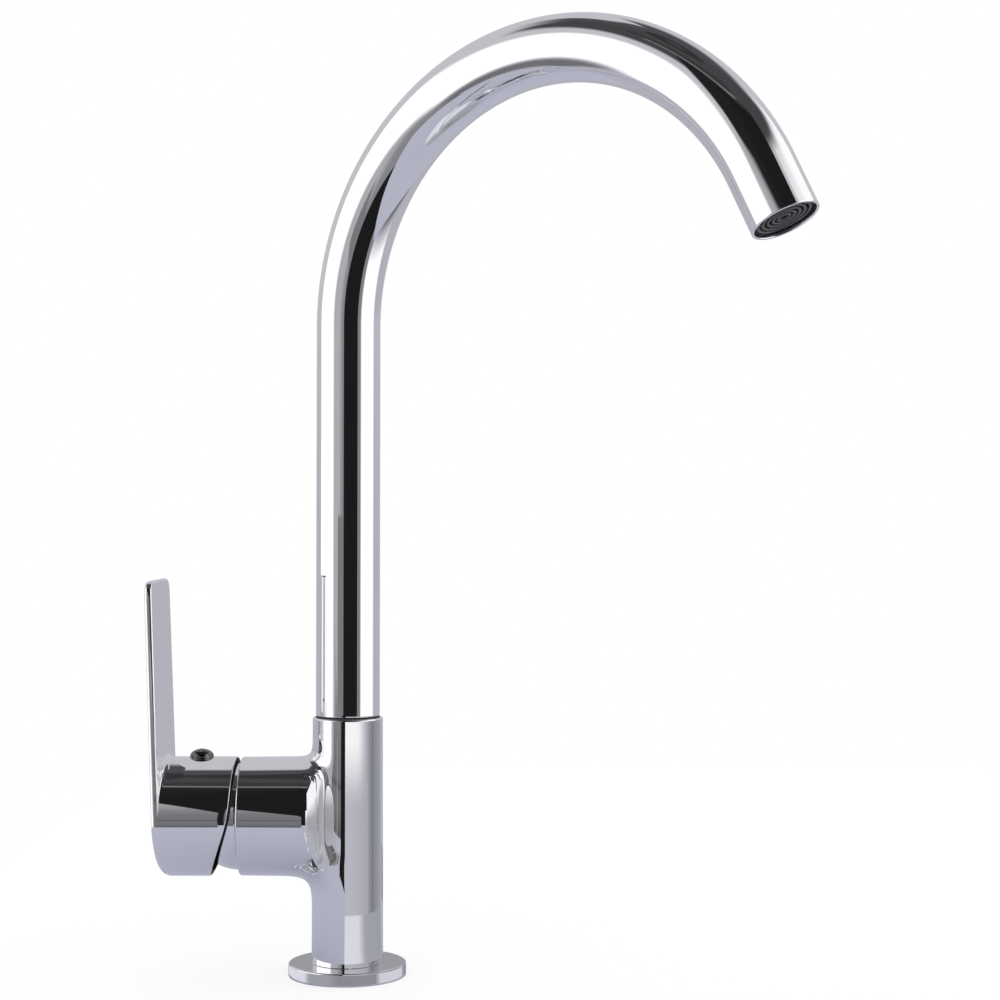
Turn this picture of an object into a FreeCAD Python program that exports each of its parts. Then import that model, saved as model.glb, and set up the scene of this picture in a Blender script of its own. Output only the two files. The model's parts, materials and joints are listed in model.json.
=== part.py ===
import FreeCAD, Part
import math
import os

from FreeCAD import Placement, Rotation, Vector

# Three way filtered water tap with one side lever and a swan neck spout.
# Millimetres and degrees. +Z is up and the origin is the centre of the base's underside.
# The cartridge and its lever point along -X. The spout swivels about Z.

# --- Fits -------------------------------------------------------------------
running_fit = 0.08            # radial play of a turning or sliding fit
assembly_gap = 0.05           # play between pieces that are assembled and stay put
moving_gap = 0.40             # free space between pieces that pass each other
disc_gap = 0.03               # water film between the two ceramic discs

# --- Base -------------------------------------------------------------------
base_radius = 25.8
base_height = 5.7
base_edge = 0.8
tail_radius = 14.0            # the body's end that passes down through the base
gasket_inner_radius = 18.5
gasket_outer_radius = 22.5
gasket_depth = 1.6

# --- Body casting -----------------------------------------------------------
column_foot_radius = 15.7
column_top_radius = 15.4
axis_above_base = 63.9        # base top to the cartridge axis
column_above_axis = 43.6      # cartridge axis to the column's top
column_edge = 0.6
housing_radius = 25.8         # at its open face
housing_draft = 0.4           # growth of that radius towards the column
housing_reach = 46.6          # column axis to the housing's face
housing_shoulder = 9.5        # column axis to the housing's inner end
housing_chamfer = 0.9
shoulder_round = 8.0
column_blend = 6.0            # hollow blend between the housing and the column

# --- Waterways in the body --------------------------------------------------
inlet_count = 3
inlet_circle_radius = 8.75    # cold, hot and filtered tails in the underside
inlet_radius = 3.5
inlet_depth = 14.0
stud_radius = 2.5
stud_depth = 18.0
waterway_radius = 2.0
side_port_drop = 6.0          # hot and cold ports below the cartridge axis
filter_in_drop = 9.8
filter_out_drop = 2.2
mixed_port_rise = 7.5
mixed_riser_offset = 8.0

# --- Spout socket and seat --------------------------------------------------
socket_radius = 11.0
socket_depth = 29.2
seat_depth = 8.0
seat_seal_radius = 4.8
seat_seal_height = 1.8
slide_ring_radius = 14.2
slide_ring_height = 0.35
slide_ring_gap = 0.1          # slide ring to the turning spout

# --- Spout ------------------------------------------------------------------
spout_azimuth = -35.5         # direction of the spout at rest, from +X
tube_radius = 14.0
tube_wall = 1.2
tube_foot_round = 0.9
tube_lip_round = 0.5
bend_radius = 108.6
bend_height = 284.9           # where the straight riser ends
bend_angle = 152.9
tip_length = 22.4
spigot_plug_length = 12.0     # part of the spigot soldered in the tube
spigot_floor_gap = 2.0
spigot_bore = 7.5
seal_groove_depth = 1.4
seal_groove_width = 2.0
lower_seal_height = 5.0       # above the spigot's lower end
seal_spacing = 8.0
lock_groove_depth = 1.5
lock_groove_width = 4.6
lock_screw_radius = 2.0
lock_screw_drop = 7.2         # below the column's top
lock_screw_inset = 0.4
lock_socket_radius = 1.0
lock_socket_depth = 2.0
filter_tube_radius = 3.0
filter_tube_wall = 0.7
filter_tube_floor_gap = 0.6

# --- Outlet and aerator (distances are measured inwards from the tube's mouth)
aerator_recess = 1.4
aerator_flange_height = 1.6
aerator_length = 11.6
aerator_wall = 1.2
collar_wall = 1.2
collar_length = 12.0
grille_thickness = 1.8
grille_ring_count = 5
grille_ring_width = 0.75
grille_nozzle_radius = 1.6
grille_rib_width = 0.8
grille_rib_count = 4
mesh_gap = 0.8
mesh_thickness = 0.4
mesh_hole_radius = 0.7
mesh_hole_pitch = 2.0
diffuser_gap = 1.0
diffuser_thickness = 2.0
diffuser_hole_radius = 0.7
diffuser_hole_count = 16
diffuser_boss_wall = 1.2
diffuser_boss_height = 4.0
aerator_gasket_height = 1.6
aerator_gasket_width = 3.0

# --- Cartridge (distances are measured outwards from the column's axis) ------
chamber_depth = 28.6
chamber_radius = 20.2
nut_radius = 21.8
nut_height = 6.0
port_seal_height = 1.4
port_seal_wall = 1.1
port_seal_proud = 0.2
cartridge_clearance = 0.3
cartridge_base_height = 4.8
cartridge_wall = 1.5
fixed_disc_radius = 15.5
fixed_disc_height = 3.5
moving_disc_radius = 12.5
moving_disc_height = 3.0
carrier_height = 4.5
carrier_key_offset = 6.8      # the two keys that turn the carrier with the turret
carrier_key_width = 1.4
carrier_key_height = 1.2
shell_roof = 1.9
neck_radius = 14.2
neck_length = 12.0
turret_radius = 11.9
turret_proud = 0.6
turret_flange_radius = 14.6
turret_flange_height = 1.6
turret_slot_half_width = 4.1
turret_slot_half_length = 8.4
turret_seal_height = 3.2      # above the shell's roof
turret_seal_width = 1.8
turret_seal_depth = 1.0
pivot_inset = 0.1             # lever pivot behind the housing's face
lever_tilt_range = 22.0       # shut to full flow
pin_radius = 1.5
pin_half_length = 10.6

# --- Bonnet and lever -------------------------------------------------------
bonnet_radius = 23.35         # spherical, centred on the lever's pivot
bonnet_wall = 1.8
bonnet_opening_radius = 18.4
bonnet_skirt_wall = 1.5
cap_radius = 26.0
cap_wall = 2.2
cap_reach = 35.9              # pivot to the cap's flat outer face, on the axis
cap_end_wall = 3.5
cap_rim_top = 2.0             # pivot to the rim at the top of the cap
cap_bend_rise = 6.0           # above the axis: from here down the rim turns outwards
cap_bend_reach = 3.1          # pivot to the rim there
cap_knee_drop = 6.0           # below the axis: from here down it turns outwards more
cap_knee_reach = 5.7          # pivot to the rim there
cap_rim_bottom = 13.0         # pivot to the rim at the bottom of the cap
handle_edge_round = 1.0       # along the outer face's outline
blade_height = 103.9          # above the cartridge axis
blade_thickness = 3.4
blade_taper = 0.83            # each side, from the cap's full width
blade_corner = 6.0
blade_lean = 2.0
boss_radius = 7.5
boss_start = 15.5             # pivot to the boss's inner end
stem_square = 7.0
stem_bar_thickness = 5.2
stem_bar_width = 8.0
stem_square_start = 6.1       # pivot to the square's inner end
stem_reach = 29.5
ball_radius = 2.4
ball_floor = 0.4
ball_neck_radius = 1.7
screw_reach = 17.7            # pivot to the lever screw
screw_radius = 2.0
screw_head_radius = 5.2
screw_head_height = 3.5
screw_head_sink = 0.6         # spot face below the cap's crown
screw_socket_radius = 1.25
screw_socket_depth = 2.0
screw_pillar_half_width = 3.0

# --- Places that follow from the sizes above --------------------------------
axis_z = base_height + axis_above_base
column_top = axis_z + column_above_axis
socket_floor = column_top - socket_depth
seat_floor = socket_floor - seat_depth
seat_radius = filter_tube_radius + running_fit
inlet_step = 360.0 / inlet_count
first_inlet_angle = 0.0
side_port_y = inlet_circle_radius * math.sin(math.radians(inlet_step))
side_riser_x = inlet_circle_radius * math.cos(math.radians(inlet_step))

tube_foot = column_top + slide_ring_height + slide_ring_gap
tube_bore = tube_radius - tube_wall
spigot_radius = socket_radius - running_fit
spigot_foot = socket_floor + spigot_floor_gap
lock_z = column_top - lock_screw_drop

chamber_floor = housing_reach - chamber_depth
cartridge_radius = chamber_radius - cartridge_clearance
base_start = chamber_floor + port_seal_proud
fixed_disc_start = base_start + cartridge_base_height
moving_disc_start = fixed_disc_start + fixed_disc_height + disc_gap
carrier_start = moving_disc_start + moving_disc_height
carrier_end = carrier_start + carrier_height
turret_start = carrier_end + moving_gap
roof_start = turret_start + turret_flange_height + running_fit
roof_end = roof_start + shell_roof
neck_end = roof_end + neck_length
turret_end = neck_end + turret_proud
pivot = housing_reach - pivot_inset
ball_centre = carrier_start + ball_floor + ball_radius
disc_travel = (pivot - ball_centre) * math.sin(math.radians(lever_tilt_range))
nut_end = roof_end + nut_height
cap_bore = cap_radius - cap_wall
lean_slope = math.tan(math.radians(blade_lean))

port_places = [
    (-side_port_drop, side_port_y),       # cold
    (-side_port_drop, -side_port_y),      # hot
    (-filter_in_drop, 0.0),               # filtered water in
    (-filter_out_drop, 0.0),              # filtered water out
    (mixed_port_rise, 0.0),               # mixed water out
]

collar_start = aerator_recess + aerator_flange_height
aerator_radius = tube_bore - collar_wall - assembly_gap
aerator_bore = aerator_radius - aerator_wall
aerator_end = aerator_recess + aerator_length
grille_start = aerator_recess + assembly_gap
mesh_start = grille_start + grille_thickness + mesh_gap
diffuser_start = mesh_start + mesh_thickness + diffuser_gap
diffuser_end = diffuser_start + diffuser_thickness


# --- Small helpers ----------------------------------------------------------
def cylinder(radius, start, end, x=0.0, y=0.0):
    """Upright cylinder between two heights."""
    return Part.makeCylinder(radius, end - start, Vector(x, y, start))


def ring(outer, inner, start, end):
    """Upright ring between two heights."""
    return cylinder(outer, start, end).cut(cylinder(inner, start, end))


def box(x_range, y_range, z_range):
    """Box between pairs of coordinates."""
    size = [high - low for low, high in (x_range, y_range, z_range)]
    return Part.makeBox(*size, Vector(x_range[0], y_range[0], z_range[0]))


def along_x(radius, start, end, y, z):
    """Round hole or bar parallel to X."""
    return Part.makeCylinder(radius, end - start, Vector(start, y, z), Vector(1, 0, 0))


def prism_across(points, half_width):
    """Outline given as (up, out) pairs, pulled to both sides of the cartridge axis."""
    corners = [Vector(up, -half_width, out) for up, out in points]
    face = Part.Face(Part.makePolygon(corners + corners[:1]))
    return face.extrude(Vector(0, 2 * half_width, 0))


def placed(shape, placement):
    """Copy of a shape at a new place."""
    copy = shape.copy()
    copy.Placement = placement.multiply(shape.Placement)
    return copy


def on_cartridge_axis(shape):
    """Lay a shape that was built upright along the cartridge axis; its +X points up."""
    return placed(shape, Placement(Vector(0, 0, axis_z), Rotation(Vector(0, 1, 0), -90)))


def on_spout(shape):
    """Swing a shape that was built in the XZ plane to the spout's rest direction."""
    return placed(shape, Placement(Vector(0, 0, 0), Rotation(Vector(0, 0, 1), spout_azimuth)))


def at_mouth(shape):
    """Put a shape that was built upright into the spout's mouth, +Z pointing inwards."""
    turn = math.radians(bend_angle)
    mouth_x = bend_radius * (1 - math.cos(turn)) + tip_length * math.sin(turn)
    mouth_z = bend_height + bend_radius * math.sin(turn) + tip_length * math.cos(turn)
    tilt = Rotation(Vector(0, 1, 0), bend_angle + 180)
    return on_spout(placed(shape, Placement(Vector(mouth_x, 0, mouth_z), tilt)))


def circle_edges(shape, radius, height):
    """Full circles of a given radius at a given height."""
    found = []
    for edge in shape.Edges:
        curve = edge.Curve
        if not isinstance(curve, Part.Circle):
            continue
        if abs(curve.Radius - radius) < 0.001 and abs(curve.Center.z - height) < 0.001:
            found.append(edge)
    return found


def ring_face(outer, inner, centre, normal):
    """Flat ring between two circles."""
    discs = []
    for radius in (outer, inner):
        discs.append(Part.Face(Part.Wire(Part.makeCircle(radius, centre, normal))))
    return discs[0].cut(discs[1]).Faces[0]


def swan_neck(outer, inner, foot, tip_cut):
    """Pipe along the spout's centre line, from a height to a distance before the mouth."""
    up = Vector(0, 0, 1)
    riser = ring_face(outer, inner, Vector(0, 0, foot), up).extrude(up * (bend_height - foot))
    bend_start = ring_face(outer, inner, Vector(0, 0, bend_height), up)
    bend = bend_start.revolve(Vector(bend_radius, 0, bend_height), Vector(0, 1, 0), bend_angle)
    turn = math.radians(bend_angle)
    bend_end = Vector(bend_radius * (1 - math.cos(turn)), 0, bend_height + bend_radius * math.sin(turn))
    heading = Vector(math.sin(turn), 0, math.cos(turn))
    tip = ring_face(outer, inner, bend_end, heading).extrude(heading * (tip_length - tip_cut))
    return riser.fuse([bend, tip])


# --- Tap body ---------------------------------------------------------------
def body_shell():
    """Outside of the casting: column, cross housing and the blend between them."""
    height = column_top - base_height
    column = Part.makeCone(column_foot_radius, column_top_radius, height, Vector(0, 0, base_height))
    column = column.makeFillet(column_edge, circle_edges(column, column_top_radius, column_top))
    length = housing_reach - housing_shoulder
    root_radius = housing_radius + housing_draft
    housing = Part.makeCone(root_radius, housing_radius, length, Vector(0, 0, housing_shoulder))
    housing = housing.makeFillet(shoulder_round, circle_edges(housing, root_radius, housing_shoulder))
    housing = housing.makeChamfer(housing_chamfer, circle_edges(housing, housing_radius, housing_reach))
    shell = column.fuse(on_cartridge_axis(housing))
    joint_edges = []
    for edge in shell.Edges:
        middle = edge.valueAt((edge.FirstParameter + edge.LastParameter) / 2)
        share = (middle.z - base_height) / height
        column_radius = column_foot_radius + share * (column_top_radius - column_foot_radius)
        on_column = abs(math.hypot(middle.x, middle.y) - column_radius) < 0.01
        if on_column and middle.x < -1 and base_height + 1 < middle.z < column_top - 1:
            joint_edges.append(edge)
    return shell.makeFillet(column_blend, joint_edges)


def inlet_places():
    """Centres of the three inlets in the underside: filtered, cold and hot."""
    places = []
    for number in range(inlet_count):
        angle = math.radians(first_inlet_angle + number * inlet_step)
        places.append((inlet_circle_radius * math.cos(angle), inlet_circle_radius * math.sin(angle)))
    return places


def body_waterways():
    """Tapped inlets, risers and the cross drillings to and from the cartridge."""
    cuts = [cylinder(stud_radius, 0, stud_depth)]
    inlet_tops = [axis_z - filter_in_drop, axis_z - side_port_drop, axis_z - side_port_drop]
    for (x, y), top in zip(inlet_places(), inlet_tops):
        cuts.append(cylinder(inlet_radius, 0, inlet_depth, x, y))
        cuts.append(cylinder(waterway_radius, inlet_depth, top, x, y))
    drilling_ends = [side_riser_x, side_riser_x, inlet_circle_radius, 0.0, -mixed_riser_offset]
    for (up, across), end in zip(port_places, drilling_ends):
        cuts.append(along_x(waterway_radius, -chamber_floor - 1, end, across, axis_z + up))
    cuts.append(cylinder(filter_tube_radius - filter_tube_wall, axis_z - filter_out_drop, seat_floor))
    mixed_z = axis_z + mixed_port_rise
    cuts.append(cylinder(waterway_radius, mixed_z, socket_floor, -mixed_riser_offset))
    return cuts


def body_casting():
    """Column and cross housing, hollowed for the cartridge, the spout and the water."""
    tail = cylinder(tail_radius, 0, base_height + 1)
    body = body_shell().fuse(tail)
    chamber = cylinder(chamber_radius, chamber_floor, housing_reach)
    thread = cylinder(nut_radius, roof_end - moving_gap, housing_reach)
    cuts = [on_cartridge_axis(chamber), on_cartridge_axis(thread)]
    cuts.append(cylinder(socket_radius, socket_floor, column_top))
    cuts.append(cylinder(seat_radius, seat_floor, socket_floor))
    cuts.append(cylinder(seat_seal_radius, socket_floor - seat_seal_height, socket_floor))
    lock_length = column_foot_radius
    cuts.append(Part.makeCylinder(lock_screw_radius, lock_length, Vector(0, 0, lock_z), Vector(0, 1, 0)))
    return body.cut(cuts + body_waterways())


def base_flange():
    """Round base plate under the column, with the gasket's groove in its underside."""
    plate = cylinder(base_radius, 0, base_height)
    plate = plate.makeFillet(base_edge, circle_edges(plate, base_radius, base_height))
    bore = cylinder(tail_radius + assembly_gap, 0, base_height)
    return plate.cut([bore, base_gasket()])


def base_gasket():
    """Flat rubber ring between the base and the worktop."""
    return ring(gasket_outer_radius, gasket_inner_radius, 0, gasket_depth)


def slide_ring():
    """Thin plastic ring that the spout turns on."""
    return ring(slide_ring_radius, socket_radius + assembly_gap, column_top, column_top + slide_ring_height)


def filter_seal():
    """Rubber ring round the filtered water tube, in the floor of the spout's socket."""
    start = socket_floor - seat_seal_height
    return ring(seat_seal_radius, filter_tube_radius + running_fit, start, socket_floor - assembly_gap)


def spout_lock_screw():
    """Grub screw at the back whose tip keeps the spout's spigot down."""
    tip = spigot_radius - lock_groove_depth + moving_gap
    share = (lock_z - base_height) / (column_top - base_height)
    surface = column_foot_radius + share * (column_top_radius - column_foot_radius)
    end = surface - lock_screw_inset
    screw = Part.makeCylinder(lock_screw_radius, end - tip, Vector(0, tip, lock_z), Vector(0, 1, 0))
    start = Vector(0, end - lock_socket_depth, lock_z)
    socket = Part.makeCylinder(lock_socket_radius, lock_socket_depth, start, Vector(0, 1, 0))
    return screw.cut(socket)


# --- Cartridge, fixed pieces ------------------------------------------------
def port_holes(radius, start, end):
    """The five water passages through a fixed piece of the cartridge."""
    return [cylinder(radius, start, end, up, across) for up, across in port_places]


def port_seals():
    """Five rubber rings between the cartridge and the chamber's floor."""
    end = chamber_floor + port_seal_height
    rings = []
    for up, across in port_places:
        outer = cylinder(waterway_radius + port_seal_wall, chamber_floor, end, up, across)
        rings.append(outer.cut(cylinder(waterway_radius, chamber_floor, end, up, across)))
    return on_cartridge_axis(Part.makeCompound(rings))


def cartridge_base():
    """Plastic base plate with the seals' seats in its underside."""
    base = cylinder(cartridge_radius, base_start, fixed_disc_start)
    seats = port_holes(waterway_radius + port_seal_wall, base_start, chamber_floor + port_seal_height)
    return on_cartridge_axis(base.cut(seats + port_holes(waterway_radius, base_start, fixed_disc_start)))


def fixed_disc():
    """Lower ceramic disc with the five ports."""
    end = fixed_disc_start + fixed_disc_height
    disc = cylinder(fixed_disc_radius, fixed_disc_start, end)
    return on_cartridge_axis(disc.cut(port_holes(waterway_radius, fixed_disc_start, end)))


def cartridge_shell():
    """Plastic barrel round the discs, with the neck that the turret turns in."""
    disc_end = fixed_disc_start + fixed_disc_height
    barrel = cylinder(cartridge_radius, fixed_disc_start, roof_end)
    shell = barrel.fuse(cylinder(neck_radius, roof_end, neck_end))
    seat = cylinder(fixed_disc_radius + assembly_gap, fixed_disc_start, disc_end)
    room = cylinder(cartridge_radius - cartridge_wall, disc_end, roof_start)
    bore = cylinder(turret_radius + running_fit, roof_start, neck_end)
    return on_cartridge_axis(shell.cut([seat, room, bore]))


def cartridge_nut():
    """Brass ring nut that clamps the cartridge, with two slots for a pin wrench."""
    nut = ring(nut_radius - assembly_gap, neck_radius + assembly_gap, roof_end, nut_end)
    slot_half = nut_height / 3
    slot = box((-slot_half, slot_half), (-nut_radius, nut_radius), (nut_end - slot_half, nut_end))
    return on_cartridge_axis(nut.cut(slot))


def bonnet_ring():
    """Domed chrome cover between the housing and the lever's cap."""
    centre = Vector(0, 0, pivot)
    dome = Part.makeSphere(bonnet_radius, centre).cut(Part.makeSphere(bonnet_radius - bonnet_wall, centre))
    dome_end = pivot + math.sqrt(bonnet_radius ** 2 - bonnet_opening_radius ** 2)
    keep = cylinder(bonnet_radius + 1, housing_reach, dome_end)
    skirt_radius = nut_radius - assembly_gap
    skirt_end = housing_reach + bonnet_wall / 2
    skirt = ring(skirt_radius, skirt_radius - bonnet_skirt_wall, nut_end, skirt_end)
    return on_cartridge_axis(dome.common(keep).fuse(skirt))


# --- Cartridge, moving pieces -----------------------------------------------
def carrier_keys(play, height):
    """Two bars that make the disc carrier turn with the turret and slide in it."""
    half = carrier_key_width / 2 + play
    reach = turret_flange_radius
    low = carrier_end - moving_gap
    bars = []
    for side in (-1, 1):
        middle = side * carrier_key_offset
        bars.append(box((-reach, reach), (middle - half, middle + half), (low, carrier_end + height)))
    return bars


def moving_disc():
    """Upper ceramic disc, which uncovers the ports when it slides up."""
    end = moving_disc_start + moving_disc_height
    disc = cylinder(moving_disc_radius, moving_disc_start, end)
    windows = []
    for up in (mixed_port_rise, -filter_out_drop):
        low = up - disc_travel
        windows.append(box((low, up), (-waterway_radius, waterway_radius), (moving_disc_start, end)))
        windows.append(cylinder(waterway_radius, moving_disc_start, end, up))
        windows.append(cylinder(waterway_radius, moving_disc_start, end, low))
    return on_cartridge_axis(disc.cut(windows))


def disc_carrier():
    """Plastic carrier that holds the moving disc and takes the stem's ball."""
    carrier = cylinder(moving_disc_radius, carrier_start, carrier_end)
    limit = cylinder(moving_disc_radius, carrier_start, carrier_end + carrier_key_height)
    keys = [bar.common(limit) for bar in carrier_keys(0, carrier_key_height)]
    socket = cylinder(ball_radius + running_fit, carrier_start + ball_floor - running_fit, carrier_end)
    return on_cartridge_axis(carrier.fuse(keys).cut(socket))


def turret_slot():
    """Slot through the turret in which the stem tilts."""
    x_range = (-turret_slot_half_length, turret_slot_half_length)
    y_range = (-turret_slot_half_width, turret_slot_half_width)
    return box(x_range, y_range, (turret_start, turret_end))


def cartridge_turret():
    """Turning core that carries the lever's pivot pin."""
    turret = cylinder(turret_radius, turret_start, turret_end)
    flange = cylinder(turret_flange_radius, turret_start, turret_start + turret_flange_height)
    groove_start = roof_end + turret_seal_height
    groove_end = groove_start + turret_seal_width
    groove = ring(turret_radius + 1, turret_radius - turret_seal_depth, groove_start, groove_end)
    keyways = carrier_keys(running_fit, carrier_key_height + running_fit)
    cuts = [groove, turret_slot(), pin_bar(pin_radius)]
    return on_cartridge_axis(turret.fuse(flange).cut(cuts + keyways))


def turret_seal():
    """Rubber ring in the turret's groove."""
    start = roof_end + turret_seal_height
    outer = turret_radius + running_fit / 2
    return on_cartridge_axis(ring(outer, turret_radius - turret_seal_depth, start, start + turret_seal_width))


def pin_bar(radius):
    """Round bar across the cartridge on the lever's tilt axis."""
    start = Vector(0, -pin_half_length, pivot)
    return Part.makeCylinder(radius, 2 * pin_half_length, start, Vector(0, 1, 0))


def pivot_pin():
    """Steel pin that the lever's stem tilts on."""
    return on_cartridge_axis(pin_bar(pin_radius))


# --- Lever ------------------------------------------------------------------
def outer_face(up):
    """Distance from the column's axis to the lever's outer face at a height on it."""
    return pivot + cap_reach + up * lean_slope


def cap_solid():
    """Round cap, cut by its shaped rim and its slightly leaning outer face."""
    reach = cap_radius + 1
    upper_slope = (cap_bend_reach - cap_rim_top) / (cap_radius - cap_bend_rise)
    lower_slope = (cap_rim_bottom - cap_knee_reach) / (cap_radius - cap_knee_drop)
    profile = [
        (-reach, pivot + cap_rim_bottom + lower_slope),
        (-cap_knee_drop, pivot + cap_knee_reach),
        (cap_bend_rise, pivot + cap_bend_reach),
        (reach, pivot + cap_rim_top - upper_slope),
        (reach, outer_face(reach)),
        (-reach, outer_face(-reach)),
    ]
    round_bar = cylinder(cap_radius, pivot, pivot + 2 * cap_reach)
    return round_bar.common(prism_across(profile, reach))


def blade_solid():
    """Flat blade as wide as the cap, with rounded upper corners."""
    inner = blade_thickness / math.cos(math.radians(blade_lean))
    low = -cap_radius
    slab = [
        (low, outer_face(low) - inner),
        (low, outer_face(low)),
        (blade_height, outer_face(blade_height)),
        (blade_height, outer_face(blade_height) - inner),
    ]
    start = pivot
    taper = math.radians(blade_taper)
    touch_up = cap_radius * math.sin(taper)
    touch_side = cap_radius * math.cos(taper)
    top_side = (cap_radius - blade_height * math.sin(taper)) / math.cos(taper)
    left = Vector(touch_up, -touch_side, start)
    right = Vector(touch_up, touch_side, start)
    arc = Part.Arc(left, Vector(-cap_radius, 0, start), right).toShape()
    corners = [right, Vector(blade_height, top_side, start), Vector(blade_height, -top_side, start), left]
    wire = Part.Wire([arc] + Part.makePolygon(corners).Edges)
    outline = Part.Face(wire).extrude(Vector(0, 0, 2 * cap_reach))
    upright = []
    for edge in outline.Edges:
        ends = [vertex.Point for vertex in edge.Vertexes]
        if len(ends) == 2 and all(abs(end.x - blade_height) < 0.001 for end in ends):
            if abs(ends[0].y - ends[1].y) < 0.001:
                upright.append(edge)
    return outline.makeFillet(blade_corner, upright).common(prism_across(slab, cap_radius + 1))


def lever_handle():
    """Cap and blade in one casting, with the boss that holds the stem."""
    handle = cap_solid().fuse(blade_solid()).removeSplitter()
    outline = []
    for edge in handle.Edges:
        middle = edge.valueAt((edge.FirstParameter + edge.LastParameter) / 2)
        if abs(middle.z - outer_face(middle.x)) < 0.01:
            outline.append(edge)
    handle = handle.makeFillet(handle_edge_round, outline)
    cavity_end = pivot + cap_reach - cap_end_wall
    cavity = cylinder(cap_bore, pivot, cavity_end)
    boss = cylinder(boss_radius, pivot + boss_start, cavity_end)
    wide = screw_pillar_half_width
    middle = pivot + screw_reach
    pillar = box((0, cap_bore + 1), (-wide, wide), (middle - wide, middle + wide))
    core = boss.fuse(pillar.common(cylinder(cap_bore + 1, pivot, cavity_end)))
    half = stem_square / 2 + assembly_gap
    stem_hole = box((-half, half), (-half, half), (pivot, pivot + stem_reach))
    spot = screw_bar(screw_head_radius + assembly_gap, cap_radius - screw_head_sink, cap_radius + 1)
    hole = screw_bar(screw_radius + assembly_gap, 0, cap_radius)
    return on_cartridge_axis(handle.cut(cavity).fuse(core).cut([stem_hole, spot, hole]))


def screw_bar(radius, low, high):
    """Round bar on the lever screw's axis."""
    start = Vector(low, 0, pivot + screw_reach)
    return Part.makeCylinder(radius, high - low, start, Vector(1, 0, 0))


def lever_screw():
    """Domed socket screw on top of the cap that clamps the lever to its stem."""
    seat = cap_radius - screw_head_sink
    dome_radius = (screw_head_radius ** 2 + screw_head_height ** 2) / (2 * screw_head_height)
    top = seat + screw_head_height
    dome = Part.makeSphere(dome_radius, Vector(top - dome_radius, 0, pivot + screw_reach))
    head = dome.common(screw_bar(screw_head_radius, seat, top))
    shank = screw_bar(screw_radius, stem_square / 2, seat + 1)
    socket = screw_bar(screw_socket_radius, top - screw_socket_depth, top)
    return on_cartridge_axis(head.fuse(shank).cut(socket))


def lever_stem():
    """Steel stem: ball in the carrier, pivot in the turret, square end in the lever."""
    ball = Part.makeSphere(ball_radius, Vector(0, 0, ball_centre))
    neck = cylinder(ball_neck_radius, ball_centre, turret_start + moving_gap + ball_radius)
    half = stem_bar_thickness / 2
    width = stem_bar_width / 2
    bar = box((-half, half), (-width, width), (turret_start + ball_radius, pivot + stem_square_start))
    side = stem_square / 2
    square = box((-side, side), (-side, side), (pivot + stem_square_start, pivot + stem_reach))
    return on_cartridge_axis(ball.fuse([neck, bar, square]).cut(pin_bar(pin_radius + running_fit)))


# --- Spout ------------------------------------------------------------------
def spout_tube():
    """Swan neck tube with rounded ends."""
    tube = swan_neck(tube_radius, tube_bore, tube_foot, 0)
    tube = tube.makeFillet(tube_foot_round, circle_edges(tube, tube_radius, tube_foot))
    turn = math.radians(bend_angle)
    mouth_z = bend_height + bend_radius * math.sin(turn) + tip_length * math.cos(turn)
    tube = tube.makeFillet(tube_lip_round, circle_edges(tube, tube_radius, mouth_z))
    return on_spout(tube)


def spout_spigot():
    """Brass spigot soldered into the tube; it turns in the body's socket."""
    plug_end = tube_foot + spigot_plug_length
    spigot = cylinder(spigot_radius, spigot_foot, tube_foot).fuse(cylinder(tube_bore, tube_foot, plug_end))
    cuts = [cylinder(spigot_bore, spigot_foot, plug_end)]
    groove_radius = spigot_radius - seal_groove_depth
    for middle in seal_heights():
        half = seal_groove_width / 2
        cuts.append(ring(socket_radius, groove_radius, middle - half, middle + half))
    half = lock_groove_width / 2
    cuts.append(ring(socket_radius, spigot_radius - lock_groove_depth, lock_z - half, lock_z + half))
    return on_spout(spigot.cut(cuts))


def seal_heights():
    """Middle heights of the spigot's two seals."""
    first = spigot_foot + lower_seal_height
    return [first, first + seal_spacing]


def spigot_seals():
    """Two rubber rings in the spigot's grooves."""
    groove_radius = spigot_radius - seal_groove_depth
    outer = spigot_radius + running_fit / 2
    half = seal_groove_width / 2
    rings = [ring(outer, groove_radius, middle - half, middle + half) for middle in seal_heights()]
    return on_spout(Part.makeCompound(rings))


def filter_tube():
    """Thin inner tube that keeps the filtered water apart all the way to the mouth."""
    foot = seat_floor + filter_tube_floor_gap
    bore = filter_tube_radius - filter_tube_wall
    return on_spout(swan_neck(filter_tube_radius, bore, foot, diffuser_end))


# --- Outlet -----------------------------------------------------------------
def outlet_collar():
    """Threaded brass ring soldered inside the mouth."""
    return at_mouth(ring(tube_bore, tube_bore - collar_wall, collar_start, collar_start + collar_length))


def aerator_housing():
    """Plastic cup of the aerator with its flange at the mouth."""
    flange = cylinder(tube_bore - assembly_gap, aerator_recess, collar_start)
    cup = cylinder(aerator_radius, collar_start, aerator_end)
    return at_mouth(flange.fuse(cup).cut(cylinder(aerator_bore, aerator_recess, aerator_end)))


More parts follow.
